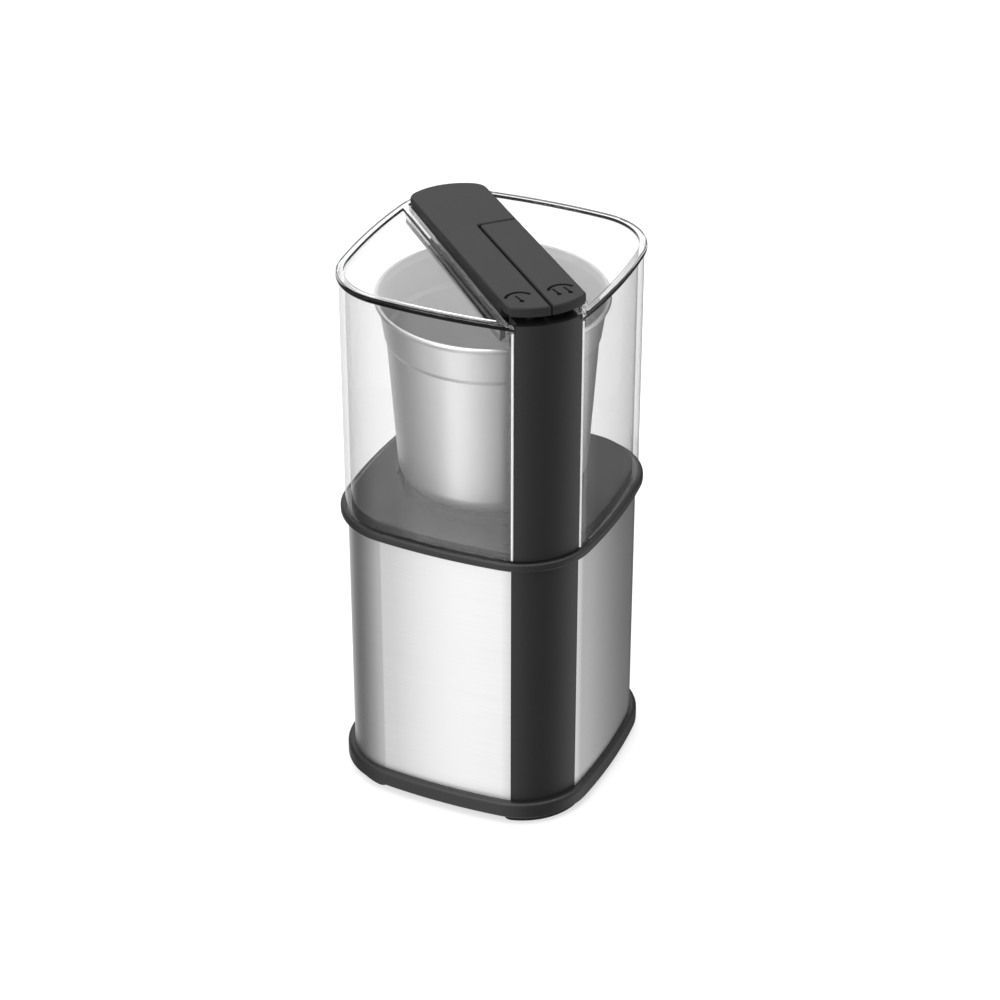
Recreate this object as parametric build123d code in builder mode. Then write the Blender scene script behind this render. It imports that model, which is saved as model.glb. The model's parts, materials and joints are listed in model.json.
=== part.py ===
from build123d import *
import math
import os

# Plan outline of the rim: a square with bulged sides, corners on the X and Y axes, front corner at -Y
half_diagonal = 58.0
corner_radius = 27.0
side_radius = 239.0

# Heights of the shells, stacked from the table up
foot_height = 2.5
skirt_height = 7.0
sleeve_height = 104.0
ring_height = 3.5
lid_head_room = 16.0

# How far the two black rings stand proud of the rim outline, and the other shells inside it
ring_proud = 0.9
skirt_proud = 0.9
sleeve_inset = 1.9
strip_inset = 1.7
lid_wall_inset = 1.0

# Clearances, and the overrun of every cut
moving_clearance = 0.3
seat_clearance = 0.1
running_clearance = 0.05
overrun = 1.0

# Screws
screw_radius = 1.4
screw_head_radius = 2.6
screw_head_height = 1.6
small_screw_radius = 1.0
small_head_radius = 1.8
small_head_height = 1.0
drive_reach_share = 1.2
drive_width_share = 0.3
drive_depth_share = 0.5

# Base tray and feet
tray_floor = 2.5
skirt_top_round = 1.6
skirt_bottom_chamfer = 1.2
foot_half_angle = 31.0
foot_width = 6.0
foot_margin = 2.0
foot_seat = 1.0
vent_count = 10
vent_length = 13.0
vent_width = 2.6
vent_circle_radius = 19.0
gland_level = 22.0
gland_radius = 5.0
gland_bore_radius = 3.3
gland_flange_radius = 6.6
gland_flange = 1.6
gland_inner_length = 5.0

# Steel sleeve, inner housing and front strip
sleeve_sheet = 0.6
housing_wall = 2.0
column_radius = 3.8
column_height = 18.0
column_overlap = 0.3
strip_width = 26.0
rib_width = 8.0
rib_margin = 8.0

# Top deck with its ring and the seat of the cup
deck_wall = 3.0
ring_round = 1.1
platform_height = 3.0
spigot_depth = 5.0
spigot_wall = 2.5
peg_length = 7.0
recess_depth = 6.0
recess_gap = 0.7
bowl_wall = 2.5
coupling_hole_gap = 2.0
key_count = 3
key_width = 6.0
key_depth = 2.0

# Grinding cup
cup_wall = 0.8
cup_floor_height = 12.0
cup_height = 74.0
cup_pillar_gap = 1.8
cup_roll_radius = 0.8
cup_flare_height = 3.0
cup_band_inset = 1.6
cup_band_height = 11.5
cup_band_taper = 1.7
cup_step = 0.8
cup_step_height = 1.8
cup_foot_inset = 8.0
cup_bottom_round = 8.0
cup_base_inset = 9.5
cup_base_plate = 2.0
cup_base_wall = 2.5

# Bush, shaft, blade and couplings
blade_shaft_radius = 2.5
bush_radius = 4.5
bush_flange_radius = 8.0
bush_flange = 1.7
bush_rise = 4.0
bush_nut_radius = 7.0
bush_nut_height = 2.6
seal_radius = 4.4
seal_height = 1.4
blade_tip_gap = 6.0
blade_width = 11.0
blade_tip_width = 6.5
blade_thickness = 1.5
blade_flat = 26.0
blade_bend_angle = 18.0
blade_nut_radius = 4.4
blade_nut_height = 4.5
blade_nut_chamfer = 0.5
thread_radius = 2.0
coupling_radius = 9.0
coupling_hub_height = 5.0
dog_count = 3
dog_angle = 52.0
dog_height = 4.2
dog_inner_radius = 4.6

# Motor
shaft_radius = 3.0
shaft_tail = 3.0
boss_height = 8.0
boss_radius = 4.0
boss_circle_radius = 25.9
motor_screw_grip = 5.0
damper_height = 3.0
bracket_thickness = 3.0
bracket_radius = 30.0
bracket_window_radius = 5.5
bearing_radius = 7.0
bearing_height = 5.0
bearing_wall = 2.4
leg_radius = 4.0
leg_circle_radius = 22.5
upper_leg = 10.0
lower_leg = 14.0
bracket_bar_width = 18.0
bracket_bar_margin = 1.5
motor_floor_gap = 11.0
stator_leg_margin = 4.5
air_gap = 0.5
armature_radius = 14.7
armature_slot_count = 12
armature_slot_width = 2.0
armature_slot_depth = 4.5
coil_radius = 19.7
coil_width = 5.6
coil_height = 6.0
coil_half_angle = 50.0
coil_middle_angles = (90.0, -90.0)
winding_radius = 12.6
winding_height = 4.0
winding_round = 1.5
commutator_radius = 8.0
commutator_rise = 0.8
segment_count = 12
segment_gap = 0.7
segment_depth = 0.8
brush_size = 5.0
brush_gap = 0.15
brush_end_gap = 0.6
holder_wall = 1.2
holder_leg_gap = 0.55
fan_radius = 25.0
fan_disc = 1.6
fan_height = 9.0
fan_hub_radius = 7.0
fan_blade_count = 9
fan_blade_thickness = 1.4
fan_blade_margin = 0.8
fan_drop = 8.0

# Clear lid
lid_wall = 2.2
bead_height = 2.4
bead_width = 2.8
bead_round = 0.9
bead_rise = 1.3
trough_depth = 6.6
trough_wall = 1.6
trough_gap = 0.5

# Lever and key across the lid
arm_half_width = 14.9
arm_lip_width = 1.0
arm_lip_height = 2.8
arm_front_inset = 1.2
arm_rear_inset = 4.0
arm_front_rise = 6.6
arm_rear_rise = 4.2
arm_depth = 2.0
arm_wall = 1.4
arm_ceiling = 2.2
arm_front_gap = 3.5
arm_edge_round = 0.8
arm_front_round = 3.0
arm_rear_round = 6.5
seam_offset = 15.0
seam_gap = 0.6
seam_round = 1.6
pin_radius = 1.0
pin_rise = 4.2
lug_radius = 2.2
lug_thickness = 2.0
lug_gap = 0.5
lever_pin_inset = 13.0
lever_lug_offset = 8.6
key_pin_offset = 7.0
key_lug_offset = 7.1
key_lug_spacing = 3.2
chassis_thickness = 1.6
chassis_half_width = 13.0
chassis_boss_radius = 2.6
chassis_boss_depth = 3.6
chassis_screw_reach = 30.0
chassis_screw_offset = 6.5

# Front pillar with the push rods
pillar_width = 25.4
pillar_depth = 13.2
pillar_top_drop = 0.5
pillar_wall = 2.0
pillar_lap_width = 1.5
pillar_lap_share = 0.5
pillar_cover_thickness = 1.2
pillar_cover_margin = 1.4
pillar_screw_length = 4.0
pillar_head_height = 0.6
lower_guide_height = 10.0
upper_guide_height = 22.0
rod_radius = 2.0
rod_inset = 9.0
rod_spacing = 10.0
rod_collar_radius = 2.7
rod_collar_height = 2.0
rod_spring_length = 34.0
rod_spring_wire = 0.6

# Plungers and switches under the deck
plunger_recess = 2.0
plunger_guide_wall = 1.1
plunger_guide_depth = 6.0
plunger_tip_radius = 1.4
plunger_tip_length = 1.4
switch_width = 6.0
switch_motor_gap = 5.7
switch_height = 9.0
switch_drop = 3.2
leaf_thickness = 0.4
leaf_width = 3.6
leaf_root_share = 0.3
holder_plate_gap = 0.1
switch_screw_shares = (-0.3, 0.3)
capacitor_length = 15.0
capacitor_width = 8.0
capacitor_height = 12.0
capacitor_inset = 18.0
capacitor_round = 1.5

# Levels, from the table up
skirt_top = foot_height + skirt_height
ring_bottom = skirt_top + sleeve_height
ring_top = ring_bottom + ring_height
deck_underside = ring_top - deck_wall
platform_top = ring_top + platform_height
recess_floor = ring_top - recess_depth
bowl_underside = recess_floor - deck_wall
cup_floor = recess_floor + cup_floor_height
cup_top = cup_floor + cup_height
rim_top = cup_top + lid_head_room
lid_height = rim_top - ring_top

# Plan sizes that follow from the outline
corner_centre = half_diagonal - corner_radius
arc_difference = side_radius - corner_radius
side_centre = (math.sqrt(2 * arc_difference**2 - corner_centre**2) - corner_centre) / 2
corner_half_angle = math.degrees(math.atan2(side_centre, corner_centre + side_centre))
side_span = 90 - 2 * corner_half_angle
side_reach = side_radius - math.sqrt(2) * side_centre
housing_inset = sleeve_inset + sleeve_sheet + seat_clearance
housing_inner = housing_inset + housing_wall
spigot_inset = housing_inner + seat_clearance
lid_inner = lid_wall_inset + lid_wall
column_circle_radius = side_reach - housing_inner - column_radius + column_overlap
rod_offset = half_diagonal - rod_inset
pillar_back = half_diagonal - pillar_depth
cup_rim_radius = pillar_back - cup_pillar_gap
cup_band_radius = cup_rim_radius - cup_band_inset
cup_foot_radius = cup_rim_radius - cup_foot_inset
cup_base_radius = cup_rim_radius - cup_base_inset
blade_length = 2 * (cup_foot_radius - blade_tip_gap)
lever_pin_offset = half_diagonal - lever_pin_inset
capacitor_offset = half_diagonal - capacitor_inset
switch_length = rod_offset + rod_collar_radius - bracket_radius - switch_motor_gap

AT_BOTTOM = (Align.CENTER, Align.CENTER, Align.MIN)
AT_TOP = (Align.CENTER, Align.CENTER, Align.MAX)
FRONT_HALF = (Align.CENTER, Align.MAX)
REAR_PLANE = Plane(origin=(0, 0, gland_level), x_dir=(1, 0, 0), z_dir=(0, 1, 0))

os.makedirs("parts", exist_ok=True)


class BodyOutline(BaseSketchObject):
    """The plan outline, drawn a given distance inside the rim."""

    def __init__(self, inset, mode=Mode.ADD):
        with BuildSketch() as outline:
            with BuildLine():
                for turn in (0, 90, 180, 270):
                    corner = Vector(corner_centre, 0).rotate(Axis.Z, turn)
                    side = Vector(-side_centre, -side_centre).rotate(Axis.Z, turn)
                    CenterArc(corner, corner_radius - inset, turn - corner_half_angle, 2 * corner_half_angle)
                    CenterArc(side, side_radius - inset, turn + corner_half_angle, side_span)
            make_face()
        super().__init__(obj=outline.sketch, mode=mode)


class BodyWall(BaseSketchObject):
    """A wall that follows the plan outline, from its outer inset inwards."""

    def __init__(self, inset, thickness, mode=Mode.ADD):
        with BuildSketch() as wall:
            BodyOutline(inset)
            BodyOutline(inset + thickness, mode=Mode.SUBTRACT)
        super().__init__(obj=wall.sketch, mode=mode)


class ArmPlan(BaseSketchObject):
    """Lever and key seen from above, as one rounded bar along the diagonal."""

    def __init__(self, mode=Mode.ADD):
        with BuildSketch() as plan:
            with Locations((0, -corner_centre)):
                Circle(corner_radius - arm_front_inset)
            with Locations((0, corner_centre)):
                Circle(corner_radius - arm_rear_inset)
            Rectangle(2 * arm_half_width, 2 * corner_centre)
            Rectangle(2 * arm_half_width, 2 * half_diagonal, mode=Mode.INTERSECT)
            fillet(plan.vertices().group_by(Axis.Y)[-1], arm_rear_round)
            fillet(plan.vertices().group_by(Axis.Y)[0], arm_front_round)
        super().__init__(obj=plan.sketch, mode=mode)


class Ring(BasePartObject):
    """A plain ring standing on its lower face."""

    def __init__(self, outer_radius, inner_radius, height, mode=Mode.ADD):
        with BuildPart() as ring:
            with BuildSketch():
                Circle(outer_radius)
                Circle(inner_radius, mode=Mode.SUBTRACT)
            extrude(amount=height)
        super().__init__(part=ring.part, mode=mode)


class Screw(BasePartObject):
    """A screw with its cross-slotted head under the origin and its shank rising from it."""

    def __init__(self, radius, length, head_radius, head_height, rotation=(0, 0, 0), mode=Mode.ADD):
        with BuildPart() as screw:
            Cylinder(radius, length, align=AT_BOTTOM)
            Cylinder(head_radius, head_height, align=AT_TOP)
            with BuildSketch(Plane.XY.offset(-head_height)):
                Rectangle(drive_reach_share * head_radius, drive_width_share * head_radius)
                Rectangle(drive_width_share * head_radius, drive_reach_share * head_radius)
            extrude(amount=drive_depth_share * head_height, mode=Mode.SUBTRACT)
        super().__init__(part=screw.part, rotation=rotation, mode=mode)


def keep(piece, name):
    """Label a finished piece and write it out."""
    piece.part.label = name
    export_step(piece.part, f"parts/{name}.step")


# Base tray: skirt, floor with air slots, posts for the screws and pockets for the feet
foot_radius = corner_radius - foot_margin - foot_width / 2
foot_arc = CenterArc((0, 0), foot_radius, -foot_half_angle, 2 * foot_half_angle)
with BuildPart() as base_tray:
    with BuildSketch(Plane.XY.offset(foot_height)):
        BodyOutline(-skirt_proud)
    extrude(amount=skirt_height)
    fillet(base_tray.faces().sort_by(Axis.Z)[-1].edges(), skirt_top_round)
    chamfer(base_tray.faces().sort_by(Axis.Z)[0].edges(), skirt_bottom_chamfer)
    with BuildSketch(Plane.XY.offset(foot_height + tray_floor)):
        BodyOutline(housing_inner)
        with PolarLocations(column_circle_radius, 4, 45):
            Circle(column_radius, mode=Mode.SUBTRACT)
    extrude(amount=skirt_height, mode=Mode.SUBTRACT)
    with BuildSketch(Plane.XY.offset(foot_height)):
        with PolarLocations(corner_centre, 4):
            SlotArc(foot_arc, foot_width + 2 * seat_clearance)
    extrude(amount=foot_seat, mode=Mode.SUBTRACT)
    with BuildSketch(Plane.XY.offset(foot_height)):
        with PolarLocations(vent_circle_radius, vent_count):
            SlotOverall(vent_length, vent_width)
        with PolarLocations(column_circle_radius, 4, 45):
            Circle(screw_radius + seat_clearance)
    extrude(amount=skirt_height, mode=Mode.SUBTRACT)
    with BuildSketch(Plane.XY.offset(foot_height)):
        with PolarLocations(column_circle_radius, 4, 45):
            Circle(screw_head_radius + moving_clearance)
    extrude(amount=screw_head_height + moving_clearance, mode=Mode.SUBTRACT)
keep(base_tray, "base_tray")

with BuildPart() as rubber_feet:
    with BuildSketch():
        with PolarLocations(corner_centre, 4):
            SlotArc(foot_arc, foot_width)
    extrude(amount=foot_height + foot_seat)
keep(rubber_feet, "rubber_feet")

with BuildPart() as base_screws:
    with Locations((0, 0, foot_height + screw_head_height + moving_clearance)):
        with PolarLocations(column_circle_radius, 4, 45):
            Screw(screw_radius, column_height, screw_head_radius, screw_head_height)
keep(base_screws, "base_screws")

# Steel sleeve, wrapped round the body with a gap at the front corner
with BuildPart() as steel_sleeve:
    with BuildSketch(Plane.XY.offset(skirt_top)):
        BodyWall(sleeve_inset, sleeve_sheet)
        Rectangle(strip_width + 2 * seat_clearance, half_diagonal, align=FRONT_HALF, mode=Mode.SUBTRACT)
    extrude(amount=sleeve_height)
    with BuildSketch(REAR_PLANE):
        Circle(gland_radius + seat_clearance)
    extrude(amount=half_diagonal, mode=Mode.SUBTRACT)
keep(steel_sleeve, "steel_sleeve")

# Inner housing: the wall behind the sleeve, with a slot for the strip's rib and columns at both ends
rib_height = sleeve_height - 2 * rib_margin
with BuildPart() as inner_housing:
    with BuildSketch(Plane.XY.offset(skirt_top)):
        BodyWall(housing_inset, housing_wall)
    extrude(amount=sleeve_height)
    with BuildSketch(Plane.XY.offset(skirt_top)):
        with PolarLocations(column_circle_radius, 4, 45):
            Circle(column_radius)
    extrude(amount=column_height)
    with BuildSketch(Plane.XY.offset(ring_bottom - spigot_depth - moving_clearance)):
        with PolarLocations(column_circle_radius, 4, 45):
            Circle(column_radius)
    extrude(amount=-column_height)
    with BuildSketch(Plane.XY.offset(skirt_top)):
        with PolarLocations(column_circle_radius, 4, 45):
            Circle(screw_radius + seat_clearance)
    extrude(amount=sleeve_height, mode=Mode.SUBTRACT)
    with BuildSketch(Plane.XY.offset(skirt_top + rib_margin)):
        Rectangle(rib_width, half_diagonal, align=FRONT_HALF)
    extrude(amount=rib_height, mode=Mode.SUBTRACT)
    with BuildSketch(REAR_PLANE):
        Circle(gland_radius + seat_clearance)
    extrude(amount=half_diagonal, mode=Mode.SUBTRACT)
keep(inner_housing, "inner_housing")

with BuildPart() as front_strip:
    with BuildSketch(Plane.XY.offset(skirt_top)):
        BodyWall(strip_inset, housing_inset - strip_inset)
        Rectangle(strip_width, half_diagonal, align=FRONT_HALF, mode=Mode.INTERSECT)
    extrude(amount=sleeve_height)
    with BuildSketch(Plane.XY.offset(skirt_top + rib_margin + seat_clearance)):
        BodyWall(strip_inset, housing_inner - strip_inset)
        Rectangle(rib_width - 2 * seat_clearance, half_diagonal, align=FRONT_HALF, mode=Mode.INTERSECT)
    extrude(amount=rib_height - 2 * seat_clearance)
keep(front_strip, "front_strip")

# Cord gland in the rear corner
with BuildPart() as cord_gland:
    with BuildSketch(REAR_PLANE):
        Circle(gland_flange_radius)
    extrude(amount=half_diagonal - sleeve_inset + gland_flange)
    with BuildSketch():
        BodyOutline(sleeve_inset)
    extrude(amount=ring_bottom, mode=Mode.SUBTRACT)
    with BuildSketch(REAR_PLANE.offset(half_diagonal - housing_inner - gland_inner_length)):
        Circle(gland_radius)
    extrude(amount=housing_inner - sleeve_inset + gland_inner_length)
    with BuildSketch(REAR_PLANE):
        Circle(gland_bore_radius)
    extrude(amount=half_diagonal + overrun, mode=Mode.SUBTRACT)
keep(cord_gland, "cord_gland")

# Top deck: ring, platform inside the lid, seat of the cup, rod holes and bosses for the motor
recess_radius = cup_base_radius + recess_gap
coupling_hole_radius = coupling_radius + coupling_hole_gap
rod_bore = rod_radius + moving_clearance
pillar_slot = pillar_width + 2 * moving_clearance
rod_places = [(-rod_spacing / 2, -rod_offset), (rod_spacing / 2, -rod_offset)]
with BuildPart() as top_deck:
    with BuildSketch(Plane.XY.offset(ring_bottom)):
        BodyOutline(-ring_proud)
    extrude(amount=ring_height)
    fillet(top_deck.edges().group_by(Axis.Z)[-1] + top_deck.edges().group_by(Axis.Z)[0], ring_round)
    with BuildSketch(Plane.XY.offset(ring_top)):
        BodyOutline(lid_inner + moving_clearance)
        with Locations((0, -pillar_back + moving_clearance)):
            Rectangle(pillar_slot, half_diagonal, align=FRONT_HALF, mode=Mode.SUBTRACT)
    extrude(amount=platform_height)
    with BuildSketch(Plane.XY.offset(ring_bottom)):
        BodyOutline(spigot_inset)
    extrude(amount=-spigot_depth)
    with BuildSketch(Plane.XY.offset(deck_underside)):
        BodyOutline(spigot_inset + spigot_wall)
    extrude(amount=-(deck_underside - ring_bottom + spigot_depth), mode=Mode.SUBTRACT)
    with BuildSketch(Plane.XY.offset(bowl_underside)):
        Circle(recess_radius + bowl_wall)
        with PolarLocations(recess_radius, key_count, -90):
            Rectangle(2 * (key_depth + bowl_wall), key_width + 2 * bowl_wall)
    extrude(amount=deck_underside - bowl_underside)
    with BuildSketch(Plane.XY.offset(recess_floor)):
        Circle(recess_radius)
        with PolarLocations(recess_radius, key_count, -90):
            Rectangle(2 * key_depth, key_width + 2 * moving_clearance)
    extrude(amount=platform_top - recess_floor, mode=Mode.SUBTRACT)
    with BuildSketch(Plane.XY.offset(bowl_underside)):
        with PolarLocations(boss_circle_radius, 4, 45):
            Circle(boss_radius)
            Circle(screw_radius + seat_clearance, mode=Mode.SUBTRACT)
    extrude(amount=-boss_height)
    with BuildSketch(Plane.XY.offset(deck_underside)):
        with Locations(*rod_places):
            Circle(rod_bore + plunger_guide_wall)
    extrude(amount=-plunger_guide_depth)
    with BuildSketch(Plane.XY.offset(deck_underside)):
        with PolarLocations(column_circle_radius, 4, 45):
            Circle(screw_radius)
    extrude(amount=-(deck_underside - ring_bottom + spigot_depth + peg_length))
    with BuildSketch(Plane.XY.offset(platform_top)):
        Circle(coupling_hole_radius)
        with Locations(*rod_places):
            Circle(rod_bore)
    extrude(amount=-(platform_top - bowl_underside), mode=Mode.SUBTRACT)
keep(top_deck, "top_deck")

# Grinding cup: spun from sheet, with a rolled rim, a band and a rounded bottom
cup_mouth_radius = cup_rim_radius - cup_roll_radius
band_bottom = cup_height - cup_flare_height - cup_band_height
waist_radius = cup_band_radius - cup_band_taper - cup_step


class CupProfile(BaseSketchObject):
    """Half section of the cup's body, from its axis out, a given depth inside its outer skin."""

    def __init__(self, depth, rise, mode=Mode.ADD):
        with BuildSketch() as section:
            with BuildLine():
                Polyline(
                    (0, depth),
                    (cup_foot_radius - depth, depth),
                    (waist_radius - depth, band_bottom - cup_step_height),
                    (cup_band_radius - cup_band_taper - depth, band_bottom),
                    (cup_band_radius - depth, cup_height - cup_flare_height),
                    (cup_mouth_radius - depth, cup_height - cup_roll_radius),
                    (cup_mouth_radius - depth, cup_height - cup_roll_radius + rise),
                    (0, cup_height - cup_roll_radius + rise),
                    close=True,
                )
            make_face()
            bottom_corner = section.vertices().group_by(Axis.Y)[0].sort_by(Axis.X)[-1]
            fillet(bottom_corner, cup_bottom_round - depth)
        super().__init__(obj=section.sketch, mode=mode)


CUP_PLANE = Plane(origin=(0, 0, cup_floor), x_dir=(1, 0, 0), z_dir=(0, -1, 0))
with BuildPart() as grinding_cup:
    with BuildSketch(CUP_PLANE):
        CupProfile(0, cup_roll_radius / 2)
        CupProfile(cup_wall, cup_roll_radius, mode=Mode.SUBTRACT)
        with Locations((cup_mouth_radius, cup_height - cup_roll_radius)):
            Circle(cup_roll_radius)
    revolve(axis=Axis.Z)
    with Locations((0, 0, cup_floor)):
        Cylinder(bush_radius + seat_clearance, 2 * cup_wall + overrun, mode=Mode.SUBTRACT)
keep(grinding_cup, "grinding_cup")

# Cup base: the black foot under the cup, with the keys that stop it turning
cup_base_bottom = recess_floor + moving_clearance
cup_base_plate_bottom = cup_floor - cup_base_plate
with BuildPart() as cup_base:
    with BuildSketch(Plane.XY.offset(cup_base_bottom)):
        Circle(cup_base_radius)
        with PolarLocations(cup_base_radius, key_count, -90):
            Rectangle(2 * key_depth, key_width)
    extrude(amount=cup_floor - cup_base_bottom)
    with BuildSketch(Plane.XY.offset(cup_base_bottom)):
        Circle(cup_base_radius - cup_base_wall)
        Circle(coupling_hole_radius + cup_base_wall, mode=Mode.SUBTRACT)
        Circle(coupling_hole_radius)
    extrude(amount=cup_base_plate_bottom - cup_base_bottom, mode=Mode.SUBTRACT)
    with Locations((0, 0, cup_base_plate_bottom)):
        Cylinder(bush_radius + seat_clearance, 2 * cup_base_plate + overrun, mode=Mode.SUBTRACT)
keep(cup_base, "cup_base")

# Bush through the cup's floor, clamped by its nut, with the seal on top
bush_top = cup_floor + cup_wall + bush_rise
bush_bore = blade_shaft_radius + running_clearance
with BuildPart() as blade_bush:
    with Locations((0, 0, cup_base_plate_bottom - bush_flange)):
        Ring(bush_flange_radius, bush_bore, bush_flange)
        Ring(bush_radius, bush_bore, bush_top - cup_base_plate_bottom + bush_flange)
keep(blade_bush, "blade_bush")

with BuildPart() as bush_nut:
    with BuildSketch(Plane.XY.offset(cup_floor + cup_wall)):
        RegularPolygon(bush_nut_radius, 6)
        Circle(bush_radius + running_clearance, mode=Mode.SUBTRACT)
    extrude(amount=bush_nut_height)
keep(bush_nut, "bush_nut")

with BuildPart() as shaft_seal:
    with Locations((0, 0, bush_top)):
        Ring(seal_radius, bush_bore, seal_height)
keep(shaft_seal, "shaft_seal")

# Blade with its wings bent up and down, on its shaft, with the driven half of the coupling below
drive_hub_top = recess_floor
driven_hub_bottom = drive_hub_top + dog_height + moving_clearance
driven_hub_top = cup_base_plate_bottom - bush_flange - moving_clearance
blade_bottom = bush_top + seal_height + moving_clearance
wing_length = (blade_length - blade_flat) / 2
with BuildPart() as blade:
    with BuildSketch(Plane.XY.offset(blade_bottom)):
        Rectangle(blade_flat, blade_width)
    extrude(amount=blade_thickness)
    for side, tilt in ((1, blade_bend_angle), (-1, -blade_bend_angle)):
        root = Plane((side * blade_flat / 2, 0, blade_bottom), (side, 0, 0), (0, 0, 1))
        with BuildSketch(root.rotated((0, -tilt, 0))):
            with BuildLine():
                Polyline(
                    (0, -blade_width / 2),
                    (wing_length, blade_width / 2 - blade_tip_width),
                    (wing_length, blade_width / 2),
                    (0, blade_width / 2),
                    close=True,
                )
            make_face()
        extrude(amount=blade_thickness)
    Cylinder(thread_radius + seat_clearance, 2 * cup_top, mode=Mode.SUBTRACT)
keep(blade, "blade")

with BuildPart() as blade_shaft:
    with Locations((0, 0, driven_hub_bottom)):
        Cylinder(blade_shaft_radius, blade_bottom - driven_hub_bottom, align=AT_BOTTOM)
        Cylinder(
            thread_radius,
            blade_bottom - driven_hub_bottom + blade_thickness + blade_nut_height,
            align=AT_BOTTOM,
        )
keep(blade_shaft, "blade_shaft")

with BuildPart() as blade_nut:
    with BuildSketch(Plane.XY.offset(blade_bottom + blade_thickness)):
        RegularPolygon(blade_nut_radius, 6)
        Circle(thread_radius + running_clearance, mode=Mode.SUBTRACT)
    extrude(amount=blade_nut_height)
    chamfer(blade_nut.faces().sort_by(Axis.Z)[-1].outer_wire().edges(), blade_nut_chamfer)
keep(blade_nut, "blade_nut")


class Dogs(BaseSketchObject):
    """The ring of driving dogs of one coupling half."""

    def __init__(self, start, mode=Mode.ADD):
        with BuildSketch() as dogs:
            for number in range(dog_count):
                middle = start + number * 360 / dog_count
                with BuildLine():
                    outer = CenterArc((0, 0), coupling_radius, middle - dog_angle / 2, dog_angle)
                    inner = CenterArc((0, 0), dog_inner_radius, middle - dog_angle / 2, dog_angle)
                    Line(outer @ 0, inner @ 0)
                    Line(outer @ 1, inner @ 1)
                make_face()
        super().__init__(obj=dogs.sketch, mode=mode)


with BuildPart() as driven_coupling:
    with Locations((0, 0, driven_hub_bottom)):
        Ring(coupling_radius, bush_bore, driven_hub_top - driven_hub_bottom)
    with BuildSketch(Plane.XY.offset(driven_hub_bottom)):
        Dogs(180 / dog_count)
    extrude(amount=-dog_height)
keep(driven_coupling, "driven_coupling")

# Rotor: shaft, armature, windings, commutator, fan and the driving half of the coupling
bracket_top = bowl_underside - boss_height - damper_height
bracket_bottom = bracket_top - bracket_thickness
stack_top = bracket_bottom - upper_leg
shaft_bottom = foot_height + tray_floor + motor_floor_gap
fan_top = shaft_bottom + shaft_tail + fan_height
lower_bracket_bottom = fan_top + fan_drop + bearing_height
lower_bracket_top = lower_bracket_bottom + bracket_thickness
stack_bottom = lower_bracket_top + lower_leg
stack_height = stack_top - stack_bottom
with BuildPart() as drive_coupling:
    with Locations((0, 0, drive_hub_top - coupling_hub_height)):
        Ring(coupling_radius, shaft_radius + running_clearance, coupling_hub_height)
    with BuildSketch(Plane.XY.offset(drive_hub_top)):
        Dogs(0)
    extrude(amount=dog_height)
keep(drive_coupling, "drive_coupling")

with BuildPart() as motor_shaft:
    with Locations((0, 0, shaft_bottom)):
        Cylinder(shaft_radius, drive_hub_top - shaft_bottom, align=AT_BOTTOM)
keep(motor_shaft, "motor_shaft")

with BuildPart() as armature_core:
    with BuildSketch(Plane.XY.offset(stack_bottom)):
        Circle(armature_radius)
        Circle(shaft_radius + running_clearance, mode=Mode.SUBTRACT)
        with PolarLocations(armature_radius, armature_slot_count):
            Rectangle(2 * armature_slot_depth, armature_slot_width, mode=Mode.SUBTRACT)
    extrude(amount=stack_height)
keep(armature_core, "armature_core")

with BuildPart() as armature_windings:
    with Locations((0, 0, stack_bottom - winding_height), (0, 0, stack_top)):
        Ring(winding_radius, shaft_radius + seat_clearance, winding_height)
    fillet(armature_windings.edges().filter_by(GeomType.CIRCLE).group_by(SortBy.RADIUS)[-1], winding_round)
keep(armature_windings, "armature_windings")

commutator_bottom = lower_bracket_top + commutator_rise
with BuildPart() as commutator:
    with BuildSketch(Plane.XY.offset(commutator_bottom)):
        Circle(commutator_radius)
        Circle(shaft_radius + running_clearance, mode=Mode.SUBTRACT)
        with PolarLocations(commutator_radius, segment_count):
            Rectangle(2 * segment_depth, segment_gap, mode=Mode.SUBTRACT)
    extrude(amount=stack_bottom - winding_height - commutator_bottom)
keep(commutator, "commutator")

fan_blade_start = fan_hub_radius - fan_blade_margin
fan_blade_end = fan_radius - fan_blade_margin
with BuildPart() as cooling_fan:
    with BuildSketch(Plane.XY.offset(fan_top)):
        Circle(fan_radius)
    extrude(amount=-fan_disc)
    with BuildSketch(Plane.XY.offset(fan_top)):
        Circle(fan_hub_radius)
        with PolarLocations((fan_blade_start + fan_blade_end) / 2, fan_blade_count):
            Rectangle(fan_blade_end - fan_blade_start, fan_blade_thickness)
    extrude(amount=-fan_height)
    Cylinder(shaft_radius + running_clearance, 2 * rim_top, mode=Mode.SUBTRACT)
keep(cooling_fan, "cooling_fan")

# Stator with its coils, brackets, bearings and brushes
stator_radius = leg_circle_radius + stator_leg_margin
with BuildPart() as stator_core:
    with BuildSketch(Plane.XY.offset(stack_bottom)):
        Circle(stator_radius)
        Circle(armature_radius + air_gap, mode=Mode.SUBTRACT)
        with PolarLocations(leg_circle_radius, 2):
            Circle(screw_radius + seat_clearance, mode=Mode.SUBTRACT)
        for middle in coil_middle_angles:
            for end in (middle - coil_half_angle, middle + coil_half_angle):
                with PolarLocations(coil_radius, 1, end):
                    Circle(coil_width / 2 + seat_clearance, mode=Mode.SUBTRACT)
    extrude(amount=stack_height)
keep(stator_core, "stator_core")

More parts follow.
